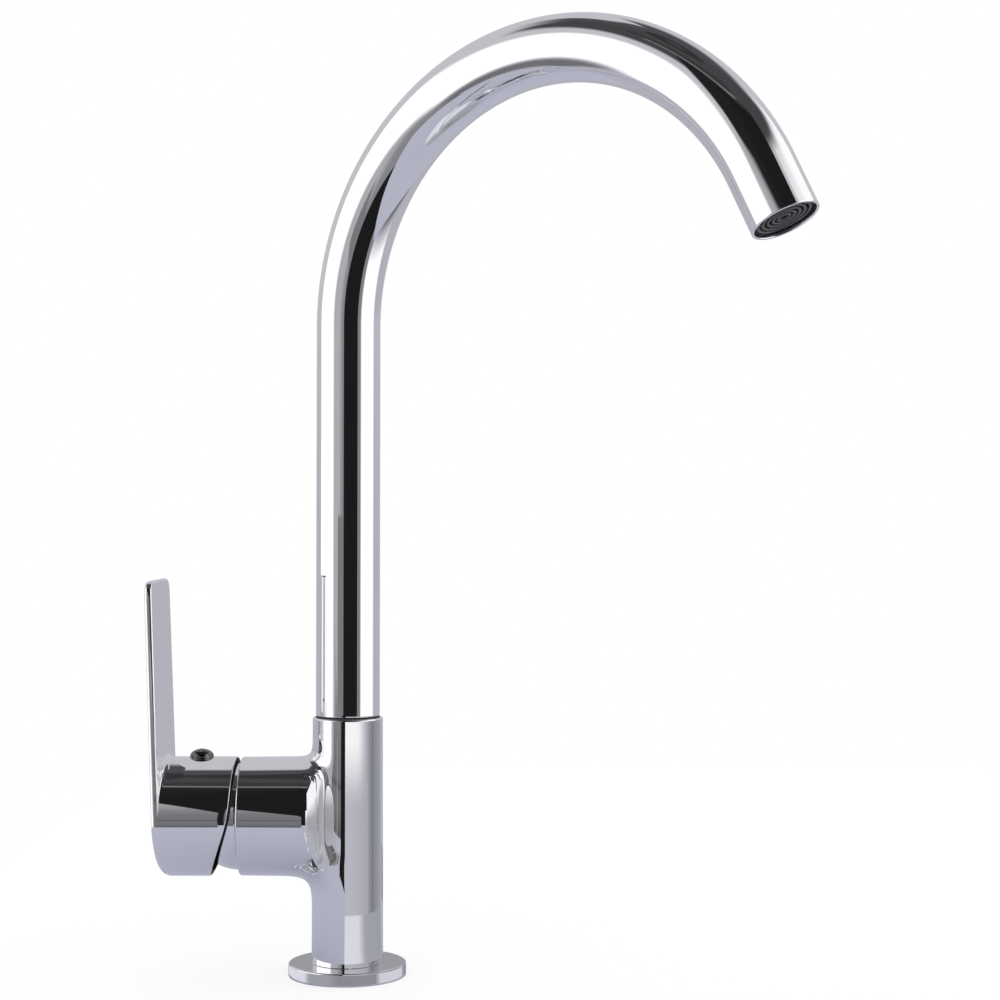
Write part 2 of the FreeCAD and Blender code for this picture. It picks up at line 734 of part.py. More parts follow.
def aerator_grille():
    """Concentric rings on crossed ribs, round the filtered water's nozzle."""
    end = grille_start + grille_thickness
    outer = aerator_bore
    nozzle_wall = grille_nozzle_radius + grille_ring_width
    pieces = [ring(nozzle_wall, grille_nozzle_radius, grille_start, end)]
    pitch = (outer - nozzle_wall) / grille_ring_count
    for number in range(1, grille_ring_count + 1):
        edge = nozzle_wall + number * pitch
        pieces.append(ring(edge, edge - grille_ring_width, grille_start, end))
    middle = (grille_start + end) / 2
    half = grille_rib_width / 2
    for number in range(grille_rib_count // 2):
        rib = box((-outer, outer), (-half, half), (middle, end))
        rib.rotate(Vector(0, 0, 0), Vector(0, 0, 1), number * 360.0 / grille_rib_count)
        keep = ring(outer - grille_ring_width / 2, grille_nozzle_radius + grille_ring_width / 2, middle, end)
        pieces.append(rib.common(keep))
    return at_mouth(pieces[0].fuse(pieces[1:]))


def aerator_mesh():
    """Perforated steel disc behind the grille."""
    end = mesh_start + mesh_thickness
    disc = cylinder(aerator_bore - assembly_gap, mesh_start, end)
    reach = aerator_bore - 2 * mesh_hole_radius
    steps = int(reach / mesh_hole_pitch)
    clear = filter_tube_radius + diffuser_boss_wall
    holes = [cylinder(grille_nozzle_radius, mesh_start, end)]
    for column in range(-steps, steps + 1):
        for row in range(-steps, steps + 1):
            x = column * mesh_hole_pitch
            y = row * mesh_hole_pitch
            if clear < math.hypot(x, y) < reach:
                holes.append(cylinder(mesh_hole_radius, mesh_start, end, x, y))
    spacer = ring(aerator_bore - assembly_gap, aerator_bore - 1, grille_start + grille_thickness, mesh_start)
    return at_mouth(disc.cut(holes).fuse(spacer))


def aerator_diffuser():
    """Plastic disc that breaks up the mixed water and holds the filtered water tube."""
    disc = cylinder(aerator_bore - assembly_gap, diffuser_start, diffuser_end)
    boss_outer = filter_tube_radius + diffuser_boss_wall
    boss = cylinder(boss_outer, diffuser_end, diffuser_end + diffuser_boss_height)
    spacer = ring(aerator_bore - assembly_gap, aerator_bore - 1, mesh_start + mesh_thickness, diffuser_start)
    cuts = [cylinder(grille_nozzle_radius, diffuser_start, diffuser_end)]
    cuts.append(cylinder(filter_tube_radius, diffuser_end, diffuser_end + diffuser_boss_height))
    circle = (boss_outer + aerator_bore) / 2
    for number in range(diffuser_hole_count):
        angle = math.radians(number * 360.0 / diffuser_hole_count)
        x = circle * math.cos(angle)
        y = circle * math.sin(angle)
        cuts.append(cylinder(diffuser_hole_radius, diffuser_start, diffuser_end, x, y))
    return at_mouth(disc.fuse([boss, spacer]).cut(cuts))


def aerator_gasket():
    """Rubber ring behind the aerator."""
    end = aerator_end + aerator_gasket_height
    return at_mouth(ring(aerator_radius, aerator_radius - aerator_gasket_width, aerator_end, end))


# --- Writing the pieces -----------------------------------------------------
pieces = {
    "body_casting": body_casting,
    "base_flange": base_flange,
    "base_gasket": base_gasket,
    "slide_ring": slide_ring,
    "filter_seal": filter_seal,
    "spout_lock_screw": spout_lock_screw,
    "port_seals": port_seals,
    "cartridge_base": cartridge_base,
    "fixed_disc": fixed_disc,
    "cartridge_shell": cartridge_shell,
    "cartridge_nut": cartridge_nut,
    "bonnet_ring": bonnet_ring,
    "moving_disc": moving_disc,
    "disc_carrier": disc_carrier,
    "cartridge_turret": cartridge_turret,
    "turret_seal": turret_seal,
    "pivot_pin": pivot_pin,
    "lever_handle": lever_handle,
    "lever_screw": lever_screw,
    "lever_stem": lever_stem,
    "spout_tube": spout_tube,
    "spout_spigot": spout_spigot,
    "spigot_seals": spigot_seals,
    "filter_tube": filter_tube,
    "outlet_collar": outlet_collar,
    "aerator_housing": aerator_housing,
    "aerator_grille": aerator_grille,
    "aerator_mesh": aerator_mesh,
    "aerator_diffuser": aerator_diffuser,
    "aerator_gasket": aerator_gasket,
}

os.makedirs("parts", exist_ok=True)
for name, make in pieces.items():
    shape = make()
    print(name, "solids", len(shape.Solids), "volume", round(shape.Volume, 1), "valid", shape.isValid())
    shape.exportStep("parts/" + name + ".step")
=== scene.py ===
import json
import math

import bpy
import numpy as np
from mathutils import Matrix, Vector


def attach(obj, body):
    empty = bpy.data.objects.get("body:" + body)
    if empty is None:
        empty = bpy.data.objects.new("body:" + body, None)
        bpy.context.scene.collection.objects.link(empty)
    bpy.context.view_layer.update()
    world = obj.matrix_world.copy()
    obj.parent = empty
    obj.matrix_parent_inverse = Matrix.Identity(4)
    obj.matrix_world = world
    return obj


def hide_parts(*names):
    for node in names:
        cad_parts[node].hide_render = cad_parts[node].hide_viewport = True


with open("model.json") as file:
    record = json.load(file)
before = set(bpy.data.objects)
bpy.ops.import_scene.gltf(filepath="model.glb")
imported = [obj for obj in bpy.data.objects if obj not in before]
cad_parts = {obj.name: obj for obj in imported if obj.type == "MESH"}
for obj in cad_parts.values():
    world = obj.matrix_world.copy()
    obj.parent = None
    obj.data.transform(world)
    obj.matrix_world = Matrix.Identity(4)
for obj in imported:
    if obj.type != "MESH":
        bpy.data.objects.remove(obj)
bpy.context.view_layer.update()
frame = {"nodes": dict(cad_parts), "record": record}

# --- Camera -----------------------------------------------------------------
camera_place = (0.06685, -0.9074, 0.2036)    # metres
camera_pitch = 0.0058        # radians, upwards
camera_roll = 0.0016         # radians, tops lean to the right
focal_length = 74.11         # millimetres on the sensor below
sensor_width = 36.0

# --- Sizes of the visible shapes, in millimetres --------------------------------
mm = 0.001
axis_z = 69.6                # cartridge axis above the base's underside

tube_radius = 14.0
tube_bore = 12.8
tube_foot = 113.65
tube_foot_round = 0.9
tube_lip_round = 0.55
bend_height = 284.9
bend_radius = 108.6
bend_angle = 152.9           # degrees
tip_length = 22.4
spout_azimuth = -35.5        # degrees, from +X

flange_radius = 25.8
flange_height = 5.7
flange_bore = 14.05
flange_edge = 0.8
gasket_inner = 18.5
gasket_outer = 22.5
gasket_depth = 1.6

column_foot_radius = 15.7
column_top_radius = 15.4
column_top = 113.2
column_edge = 0.7
tail_radius = 14.0
housing_radius = 25.8        # at its face
housing_draft = 0.4
housing_face = 46.6          # column axis to the housing's face
housing_edge = 0.8
shoulder = 11.0              # column axis to the housing's inner end
shoulder_round = 9.0         # reach of its soft edge
blend_above = 8.3            # reach of the hollow blend between housing and column
blend_below = 14.6
blend_beside = 7.5           # the same at the housing's sides, and below them
blend_beside_low = 13.5
blend_low_to_high = (-20.0, -8.0)    # heights from the axis between those two
blend_side_start = (3.0, 12.0)       # distances from the middle where the sides begin
chamber_radius = 20.2
chamber_start = 18.0         # column axis to the chamber's floor
thread_radius = 21.8
thread_start = 34.3
socket_radius = 11.0
socket_floor = 84.0
inlet_circle = 8.75
inlet_count = 3
inlet_radius = 3.5
inlet_depth = 14.0
stud_radius = 2.5
stud_depth = 18.0
bore_edge = 0.25

pivot = 46.5                 # column axis to the lever's pivot
bonnet_radius = 23.35
bonnet_wall = 1.8
bonnet_opening = 18.4
bonnet_skirt = 21.75
bonnet_skirt_wall = 1.5
bonnet_skirt_end = 40.7
bonnet_steps = 40            # rows along its dome

cap_radius = 26.0
cap_bore = 23.8
cap_reach = 35.9
cap_end_wall = 3.5
cap_rim_top = 2.2            # pivot to the rim at the top of the cap
cap_rim_lean = 0.02          # growth of that distance downwards
cap_rim_flare = 0.35         # further growth below the knee
cap_rim_knee = 2.0           # height of the knee above the axis
cap_rim_softness = 4.0
cap_rim_round = 0.5
blade_height = 103.9
blade_thickness = 3.4
blade_taper = 0.83           # degrees
blade_lean = 2.0             # degrees
blade_corner = 6.0
blade_outer_edge = 1.6
blade_inner_edge = 1.1
cap_low_edge = 5.0           # the cap's outer edge is rounder at the bottom
cap_low_edge_start = 2.0     # below the axis, where it begins to grow
blade_fillet = 5.0           # reach of the hollow blend between blade and cap
fillet_up = (2.0, 10.0)      # it fades in over these heights above the axis,
fillet_back = (0.5, 3.0)     # these depths behind the blade's outer face,
fillet_out = (15.0, 25.0)    # and fades out over these distances from the middle
boss_radius = 7.5
boss_start = 15.5            # from the pivot

screw_reach = 17.7           # pivot to the lever screw
screw_seat = 25.4            # cartridge axis to the underside of its head
screw_head_radius = 5.2
screw_head_middle = 1.0      # underside to the widest place
screw_head_dome = 3.15       # from there to the crown
screw_shank_radius = 2.0
screw_shank_end = 3.5        # from the cartridge axis
screw_socket_radius = 1.25
screw_socket_depth = 2.0
screw_socket_edge = 0.1      # the socket is smaller than the dome's opening
screw_socket_lead = 0.15     # depth of that edge
screw_core = 0.2             # radius of the thin bore that closes the turned outline

recess = 1.5                 # outlet rings behind the mouth
ring_outer = 11.4
ring_width = 1.05
ring_pitch = 2.12
ring_count = 5
ring_depth = 1.6
cup_front = 2.0              # cup round the rings, made darker with painted shade
cup_flange_end = 3.0
cup_radius = 11.55
cup_bore = 10.35
cup_end = 13.0
cup_flange_radius = 12.75
rib_count = 4
rib_half_width = 0.4
rib_recess = 0.7             # behind the rings' front
rib_clearance = 0.1          # inside the rings' back
rib_inset = 0.3              # inside the outer ring

turn_steps = 144             # columns round a turned piece
screw_turn_steps = 64
screw_dome_steps = 30
ring_turn_steps = 96
corner_steps = 6             # rows round a rounded corner
bend_rows = 2.0              # longest stretch of tube between two rows
settle_rounds = 4            # of moving a grid's places onto a blended surface

# --- Colours of the finishes --------------------------------------------------
chrome_colour = (0.93, 0.93, 0.94)
nickel_colour = (0.17, 0.162, 0.155)
brass_colour = (0.78, 0.57, 0.30)
steel_colour = (0.62, 0.61, 0.59)
rubber_colour = (0.022, 0.022, 0.024)
pale_plastic_colour = (0.74, 0.75, 0.73)
dark_plastic_colour = (0.075, 0.076, 0.080)
# painted shade: the cup's dark plastic made near black, as if shaded in its recess
cup_shade_colour = (0.010, 0.010, 0.011)
# painted shade inside the lever's cap: its near black colour, its roughness, and where it begins
# and ends
bore_shade_colour = (0.012, 0.012, 0.013)
bore_rough = 0.6
bore_clearance = 0.4         # millimetres inside the cap's outer face, where the painted shade of the bore begins
bore_end_clearance = 0.1     # the same at its end wall
noise_low = 0.3              # most of a noise's values lie between these
noise_high = 0.7
tint_low = 0.35              # narrower, for colours
tint_high = 0.65
ceramic_colour = (0.86, 0.85, 0.82)

# --- Studio -------------------------------------------------------------------
white_level = 1.0
diffuse_level = 0.80         # what matt surfaces receive from all round
floor_colour = (0.60, 0.615, 0.735)
floor_grey = 0.35            # the same for the camera, without the tint
floor_lift = 0.73            # added for the camera alone, so that the floor reads white
floor_x = (-0.22, 0.45)      # metres
floor_y = (-0.424, 0.75)
room_colour = (0.465, 0.460, 0.515)    # where no zone of the studio covers it
card_colour = (0.45, 0.455, 0.53)
ramp_top = 150.0             # height up to which the cards' colours are given, millimetres
glow_height = 0.4            # of the glows above the table, millimetres
band_cool = 1.12
glow_cool = 1.1
arc_places = 25


# --- Material helpers ---------------------------------------------------------
class Nodes:
    """Node tree with a shorthand for its sums."""

    def math(self, operation, first, second=None):
        node = self.nodes.new("ShaderNodeMath")
        node.operation = operation
        for socket, value in zip(node.inputs, (first, second)):
            if value is None:
                continue
            if isinstance(value, float):
                socket.default_value = value
            else:
                self.links.new(value, socket)
        return node.outputs[0]

    def mix(self, factor, first, second):
        """Blend two colours; either may be a socket."""
        node = self.nodes.new("ShaderNodeMix")
        node.data_type = "RGBA"
        sockets = [s for s in node.inputs if s.type == "RGBA"]
        for socket, value in zip(sockets, (first, second)):
            if isinstance(value, tuple):
                socket.default_value = (*value, 1.0)
            else:
                self.links.new(value, socket)
        self.links.new(factor, node.inputs["Factor"])
        return [s for s in node.outputs if s.type == "RGBA"][0]

    def rise(self, value, start, end):
        """Smooth step from 0 at start to 1 at end."""
        node = self.nodes.new("ShaderNodeMapRange")
        node.interpolation_type = "SMOOTHSTEP"
        node.inputs["From Min"].default_value = start
        node.inputs["From Max"].default_value = end
        self.links.new(value, node.inputs["Value"])
        return node.outputs["Result"]


class Shader(Nodes):
    """Node material with one Principled shader and shorthands for what feeds it."""

    def __init__(self, name):
        self.material = bpy.data.materials.new(name)
        self.material.use_nodes = True
        self.nodes = self.material.node_tree.nodes
        self.links = self.material.node_tree.links
        self.surface = self.nodes["Principled BSDF"]
        self.coordinates = self.nodes.new("ShaderNodeTexCoord")

    def set(self, **values):
        for socket, value in values.items():
            self.surface.inputs[socket.replace("_", " ")].default_value = value

    def noise(self, scale, detail=2.0, stretch=(1.0, 1.0, 1.0)):
        """Noise over the piece; scale counts its waves per metre."""
        mapping = self.nodes.new("ShaderNodeMapping")
        mapping.inputs["Scale"].default_value = stretch
        noise = self.nodes.new("ShaderNodeTexNoise")
        noise.inputs["Scale"].default_value = scale
        noise.inputs["Detail"].default_value = detail
        self.links.new(self.coordinates.outputs["Object"], mapping.inputs["Vector"])
        self.links.new(mapping.outputs["Vector"], noise.inputs["Vector"])
        return noise.outputs["Fac"]

    def spread(self, factor, low, high):
        """Number that runs from low to high with a factor."""
        node = self.nodes.new("ShaderNodeMapRange")
        node.inputs["From Min"].default_value = noise_low
        node.inputs["From Max"].default_value = noise_high
        node.inputs["To Min"].default_value = low
        node.inputs["To Max"].default_value = high
        self.links.new(factor, node.inputs["Value"])
        return node.outputs["Result"]

    def roughness(self, factor, low, high):
        self.links.new(self.spread(factor, low, high), self.surface.inputs["Roughness"])

    def tint(self, factor, first, second):
        """Base colour between two colours."""
        ramp = self.nodes.new("ShaderNodeValToRGB")
        ramp.color_ramp.elements[0].position = tint_low
        ramp.color_ramp.elements[1].position = tint_high
        ramp.color_ramp.elements[0].color = (*first, 1.0)
        ramp.color_ramp.elements[1].color = (*second, 1.0)
        self.links.new(factor, ramp.inputs["Fac"])
        self.links.new(ramp.outputs["Color"], self.surface.inputs["Base Color"])

    def bump(self, factor, height, strength):
        """Relief of a real height in metres."""
        node = self.nodes.new("ShaderNodeBump")
        node.inputs["Distance"].default_value = height
        node.inputs["Strength"].default_value = strength
        self.links.new(factor, node.inputs["Height"])
        self.links.new(node.outputs["Normal"], self.surface.inputs["Normal"])


def shade(colour, factor):
    """Colour made lighter or darker."""
    return tuple(min(1.0, channel * factor) for channel in colour)


def plate(shader):
    """Clear reflections, with the faint unevenness of buffed plating."""
    shader.tint(shader.noise(55.0, detail=3.0), shade(chrome_colour, 0.985), chrome_colour)
    shader.roughness(shader.noise(160.0, detail=4.0), 0.022, 0.045)


def chrome():
    """Polished chrome."""
    shader = Shader("polished_chrome")
    shader.set(Metallic=1.0)
    plate(shader)
    return shader.material


def lever_chrome_painted_bore_shade():
    """The same chrome, with painted shade in the bore of the lever's cap: dark, rough and not
    metallic there.
    """
    shader = Shader("lever_chrome_painted_bore_shade")
    split = shader.nodes.new("ShaderNodeSeparateXYZ")
    shader.links.new(shader.coordinates.outputs["Object"], split.inputs[0])
    up = shader.math("SUBTRACT", split.outputs["Z"], axis_z * mm)
    squares = [shader.math("MULTIPLY", value, value) for value in (up, split.outputs["Y"])]
    radius = shader.math("SQRT", shader.math("ADD", *squares))
    # painted shade: inside the cap's bore the chrome turns near black, rough and not metallic
    inside = shader.math("LESS_THAN", radius, (cap_radius - bore_clearance) * mm)
    end = (pivot + cap_reach - cap_end_wall + bore_end_clearance) * mm
    mask = shader.math("MULTIPLY", inside, shader.math("GREATER_THAN", split.outputs["X"], -end))
    plate(shader)
    plated = shader.surface.inputs["Base Color"].links[0].from_socket
    shader.links.new(shader.mix(mask, plated, bore_shade_colour), shader.surface.inputs["Base Color"])
    polish = shader.surface.inputs["Roughness"].links[0].from_socket
    rough = shader.math("MAXIMUM", polish, shader.math("MULTIPLY", mask, bore_rough))
    shader.links.new(rough, shader.surface.inputs["Roughness"])
    shader.links.new(shader.math("SUBTRACT", 1.0, mask), shader.surface.inputs["Metallic"])
    return shader.material


def black_nickel():
    """Dark plated screw."""
    shader = Shader("black_nickel")
    shader.set(Metallic=1.0)
    shader.tint(shader.noise(900.0), nickel_colour, shade(nickel_colour, 1.15))
    shader.roughness(shader.noise(1500.0), 0.06, 0.11)
    return shader.material


def turned_metal(name, colour, rough):
    """Plain turned metal with fine tool marks."""
    shader = Shader(name)
    shader.set(Metallic=1.0)
    marks = shader.noise(700.0, detail=5.0, stretch=(1.0, 1.0, 6.0))
    shader.tint(marks, shade(colour, 0.85), colour)
    shader.roughness(marks, rough, rough + 0.15)
    shader.bump(marks, 0.00002, 0.4)
    return shader.material


def rubber():
    """Matt black rubber."""
    shader = Shader("seal_rubber")
    grain = shader.noise(2500.0, detail=3.0)
    shader.tint(grain, rubber_colour, shade(rubber_colour, 1.8))
    shader.roughness(grain, 0.55, 0.75)
    shader.bump(grain, 0.00002, 0.6)
    return shader.material


def moulded_plastic(name, colour, rough, specular=0.5):
    """Moulded plastic with a fine grain."""
    shader = Shader(name)
    shader.set(Specular_IOR_Level=specular)
    shader.tint(shader.noise(90.0), shade(colour, 0.92), colour)
    shader.roughness(shader.noise(1800.0, detail=4.0), rough, rough + 0.12)
    return shader.material


def ceramic():
    """Dense polished ceramic."""
    shader = Shader("valve_ceramic")
    speck = shader.noise(3000.0)
    shader.tint(speck, shade(ceramic_colour, 0.96), ceramic_colour)
    shader.roughness(speck, 0.12, 0.2)
    return shader.material


finishes = {
    "chrome": chrome(),
    "lever_chrome_painted_bore_shade": lever_chrome_painted_bore_shade(),
    "black_nickel": black_nickel(),
    "brass": turned_metal("turned_brass", brass_colour, 0.22),
    "steel": turned_metal("turned_steel", steel_colour, 0.25),
    "rubber": rubber(),
    "pale_plastic": moulded_plastic("pale_moulded_plastic", pale_plastic_colour, 0.35),
    "dark_plastic": moulded_plastic("dark_moulded_plastic", dark_plastic_colour, 0.32),
    # the cup's finish: a darker, less shiny copy of the dark plastic, for painted shade
    "cup_plastic": moulded_plastic("cup_plastic_painted_shade", cup_shade_colour, 0.5, 0.15),
    "ceramic": ceramic(),
}


def dress_cad_nodes():
    """Give each CAD node the finish of its material slot."""
    for part in frame["record"]["subparts"]:
        node = frame["nodes"][part["node"]]
        node.data.materials.clear()
        node.data.materials.append(finishes[part["material_slot"]])


# --- Turned and swept pieces ------------------------------------------------
def rounded_outline(corners):
    """Closed outline from (along, out, round) corners: its points and their outward normals."""
    points, normals = [], []
    spots = [np.array(corner[:2], float) for corner in corners]
    for index, (_, _, radius) in enumerate(corners):
        here, before, after = spots[index], spots[index - 1], spots[(index + 1) % len(spots)]
        come = (here - before) / np.linalg.norm(here - before)
        leave = (after - here) / np.linalg.norm(after - here)
        turn = math.atan2(come[0] * leave[1] - come[1] * leave[0], come @ leave)
        back = radius * abs(math.tan(turn / 2))
        steps = max(1, round(corner_steps * abs(turn) / (math.pi / 2)))
        side = math.copysign(1.0, turn)
        start = here - come * back
        centre = start + side * radius * np.array((-come[1], come[0]))
        for step in range(steps + 1):
            angle = turn * step / steps
            across = np.array((come[1], -come[0]))
            normal = np.array((
                across[0] * math.cos(angle) - across[1] * math.sin(angle),
                across[0] * math.sin(angle) + across[1] * math.cos(angle),
            ))
            points.append(centre + side * radius * normal)
            normals.append(normal)
    return np.array(points), np.array(normals)


def divided(points, normals, longest):
    """Split an outline's long straights, so that they can follow a bend."""
    new_points, new_normals = [], []
    for index in range(len(points)):
        ahead = (index + 1) % len(points)
        parts = max(1, math.ceil(abs(points[ahead][0] - points[index][0]) / longest))
        for part in range(parts):
            share = part / parts
            new_points.append(points[index] * (1 - share) + points[ahead] * share)
            new_normals.append(normals[index] * (1 - share) + normals[ahead] * share)
    return np.array(new_points), np.array(new_normals)


def straight_path(along):
    """Centre, out, side and ahead directions on the Z axis."""
    return np.array((0, 0, along)), np.array((1, 0, 0)), np.array((0, 1, 0)), np.array((0, 0, 1))


def swan_neck(along):
    """The same on the spout's centre line in the XZ plane; along counts from the tube's foot."""
    riser = bend_height - tube_foot
    bend = math.radians(bend_angle) * bend_radius
    turn = min(max((along - riser) / bend_radius, 0.0), math.radians(bend_angle))
    ahead = np.array((math.sin(turn), 0, math.cos(turn)))
    out = np.array((-math.cos(turn), 0, math.sin(turn)))
    across = bend_radius * (1 - math.cos(turn))
    centre = np.array((across, 0, bend_height + bend_radius * math.sin(turn)))
    extra = min(along, riser) - riser + max(along - riser - bend, 0.0)
    return centre + ahead * extra, out, np.array((0, 1, 0)), ahead


def spun(outline, path, steps):
    """Places, faces and normals of an outline spun round a path."""
    points, normals = outline
    places, directions = [], []
    angles = np.arange(steps) * 2 * math.pi / steps
    for (along, radius), (lean, face) in zip(points, normals):
        centre, out, side, ahead = path(along)
        spoke = np.cos(angles)[:, None] * out + np.sin(angles)[:, None] * side
        places.append(centre + radius * spoke)
        directions.append(face * spoke + lean * ahead)
    rows = len(points)
    grid = np.arange(rows * steps).reshape(rows, steps)
    right = np.roll(grid, -1, axis=1)
    below = np.roll(grid, -1, axis=0)
    faces = np.stack((grid, right, np.roll(right, -1, axis=0), below), axis=-1).reshape(-1, 4)
    return np.concatenate(places), faces, np.concatenate(directions)


def swept(name, outline, path, steps=turn_steps):
    """Mesh object of an outline spun round a path."""
    return smooth_mesh(name, *spun(outline, path, steps))


def merged(parts):
    """Places, faces and normals of several parts as one."""
    places, faces, directions = [], [], []
    for part in parts:
        faces.append(part[1] + sum(len(group) for group in places))
        places.append(part[0])
        directions.append(part[2])
    return np.concatenate(places), np.concatenate(faces), np.concatenate(directions)


def smooth_mesh(name, places, faces, directions):
    """Mesh object from millimetre places, faces and a normal for each place."""
    first = places[faces[:, 0]]
    flat = np.cross(places[faces[:, 1]] - first, places[faces[:, 2]] - first)
    if (flat * directions[faces[:, 0]]).sum() < 0:
        faces = faces[:, ::-1]
    mesh = bpy.data.meshes.new(name)
    mesh.from_pydata((places * mm).tolist(), [], faces.tolist())
    mesh.update()
    mesh.shade_smooth()
    lengths = np.linalg.norm(directions, axis=1, keepdims=True)
    mesh.normals_split_custom_set_from_vertices((directions / lengths).tolist())
    piece = bpy.data.objects.new(name, mesh)
    bpy.context.scene.collection.objects.link(piece)
    return piece


def stand_in(piece, node, body, slot, finish=None):
    """The piece takes a node's place, body and finish."""
    piece.data.materials.append(finishes[finish or slot])
    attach(piece, body)
    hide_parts(node)


def lay_on_cartridge_axis(piece):
    """Lay a piece built upright along the cartridge axis, its +X up."""
    turn = Matrix.Rotation(math.radians(-90), 4, "Y")
    piece.data.transform(Matrix.Translation((0, 0, axis_z * mm)) @ turn)


def make_spout_tube():
    """Swan neck tube with rounded ends."""
    length = bend_height - tube_foot + math.radians(bend_angle) * bend_radius + tip_length
    corners = [
        (0.0, tube_bore, 0.2),
        (length, tube_bore, tube_lip_round),
        (length, tube_radius, tube_lip_round),
        (0.0, tube_radius, tube_foot_round),
    ]
    points, normals = rounded_outline(corners)
    tube = swept("chrome_swan_neck", divided(points, normals, bend_rows), swan_neck)
    tube.data.transform(Matrix.Rotation(math.radians(spout_azimuth), 4, "Z"))
    stand_in(tube, "spout_tube", "spout", "chrome")


def make_base_flange():
    """Base plate with the gasket's groove."""
    corners = [
        (0.0, flange_bore, 0.15),
        (0.0, gasket_inner, 0.05),
        (gasket_depth, gasket_inner, 0.05),
        (gasket_depth, gasket_outer, 0.05),
        (0.0, gasket_outer, 0.05),
        (0.0, flange_radius, 0.3),
        (flange_height, flange_radius, flange_edge),
        (flange_height, flange_bore, 0.15),
    ]
    flange = swept("chrome_base_flange", rounded_outline(corners), straight_path)
    stand_in(flange, "base_flange", "tap_body", "chrome")


def make_bonnet_ring():
    """Domed cover with its skirt, turned as one piece."""
    opening = math.asin(bonnet_opening / bonnet_radius)
    foot = math.acos((housing_face - pivot) / bonnet_radius)
    inner = bonnet_radius - bonnet_wall
    points, normals = [], []
    for start, end, radius, side in ((foot, opening, bonnet_radius, 1), (opening, foot, inner, -1)):
        for step in range(bonnet_steps + 1):
            angle = start + (end - start) * step / bonnet_steps
            normal = np.array((math.cos(angle), math.sin(angle)))
            points.append(np.array((pivot, 0.0)) + radius * normal)
            normals.append(side * normal)
    skirt_inner = bonnet_skirt - bonnet_skirt_wall
    corners = [
        (bonnet_skirt_end, skirt_inner),
        (bonnet_skirt_end, bonnet_skirt),
        (housing_face, bonnet_skirt),
    ]
    leans = [(-0.7, -0.7), (-0.7, 0.7), (0.0, 1.0)]
    points += [np.array(corner) for corner in corners]
    normals += [np.array(lean) for lean in leans]
    ring = swept("chrome_bonnet", (np.array(points), np.array(normals)), straight_path)
    lay_on_cartridge_axis(ring)
    stand_in(ring, "bonnet_ring", "tap_body", "chrome")


# --- Blended pieces: distance fields ----------------------------------------
def meet(first, second, radius):
    """Intersection with a rounded outer edge."""
    corner = np.hypot(np.maximum(first + radius, 0), np.maximum(second + radius, 0))
    return np.minimum(np.maximum(first, second), -radius) + corner


def join(first, second, reach):
    """Union with a soft hollow blend."""
    near = np.maximum(reach - np.abs(first - second), 0) / reach
    return np.minimum(first, second) - near ** 3 * reach / 6


def eased(value, start, end):
    """Smooth step from 0 to 1."""
    share = np.clip((value - start) / (end - start), 0, 1)
    return share * share * (3 - 2 * share)


def slope_of(field, places, reach=0.01):
    """Direction in which the field grows, at each place."""
    parts = []
    for axis in range(3):
        shift = np.zeros(3)
        shift[axis] = reach
        parts.append((field(*(places + shift).T) - field(*(places - shift).T)) / (2 * reach))
    return np.stack(parts, axis=-1)


def settle(field, places):
    """Move places onto the field's zero surface."""
    for _ in range(settle_rounds):
        slope = slope_of(field, places)
        size = np.maximum((slope ** 2).sum(axis=-1), 0.05)
        places = places - (field(*places.T) / size)[:, None] * slope
    return places


def graded(start, *spans):
    """Grid lines from start on; each span gives its end and its spacing."""
    lines = [start]
    for end, spacing in spans:
        count = max(1, round((end - lines[-1]) / spacing))
        lines += list(np.linspace(lines[-1], end, count + 1)[1:])
    return np.array(lines)


def zero_surface(field, axes, locate):
    """Quads on the zero surface of a distance field: one place in each crossed cell of a grid."""
    values = field(*locate(*np.meshgrid(*axes, indexing="ij")))
    inside = values < 0
    shifts = [(i, j, k) for i in (0, 1) for j in (0, 1) for k in (0, 1)]
    shape = [len(axis) - 1 for axis in axes]
    filled = np.zeros(shape, np.int8)
    for i, j, k in shifts:
        filled += inside[i:i + shape[0], j:j + shape[1], k:k + shape[2]]
    cells = np.argwhere((filled > 0) & (filled < 8))
    number = np.full(shape, -1)
    number[tuple(cells.T)] = np.arange(len(cells))
    total = np.zeros((len(cells), 3))
    crossings = np.zeros(len(cells))
    for first in shifts:
        for axis in range(3):
            if first[axis]:
                continue
            second = tuple(first[k] + (k == axis) for k in range(3))
            start = values[tuple((cells + first).T)]
            end = values[tuple((cells + second).T)]
            crossed = (start < 0) != (end < 0)
            share = np.where(crossed, start / np.where(crossed, start - end, 1), 0)
            place = cells + first + share[:, None] * (np.array(second) - first)
            total += place * crossed[:, None]
            crossings += crossed
    spots = (total / crossings[:, None]).T
    lines = [np.interp(spots[k], np.arange(len(axes[k])), axes[k]) for k in range(3)]
    faces = []
    for axis in range(3):
        one, two = (axis + 1) % 3, (axis + 2) % 3
        low_side = [slice(1, -1)] * 3
        high_side = [slice(1, -1)] * 3
        low_side[axis] = slice(0, -1)
        high_side[axis] = slice(1, None)
        starts, ends = inside[tuple(low_side)], inside[tuple(high_side)]
        edges = np.argwhere(starts != ends)
        forward = starts[tuple(edges.T)]
        edges[:, one] += 1
        edges[:, two] += 1
        corners = []
        for a, b in ((1, 1), (0, 1), (0, 0), (1, 0)):
            cell_index = edges.copy()
            cell_index[:, one] -= a
            cell_index[:, two] -= b
            corners.append(number[tuple(cell_index.T)])
        quads = np.stack(corners, axis=-1)
        quads[~forward] = quads[~forward][:, ::-1]
        faces.append(quads)
    return np.stack(locate(*lines), axis=-1), np.concatenate(faces)


def field_piece(name, field, axes, locate):
    """Mesh object of a distance field."""
    places, faces = zero_surface(field, axes, locate)
    places = settle(field, places)
    return smooth_mesh(name, places, faces, slope_of(field, places))


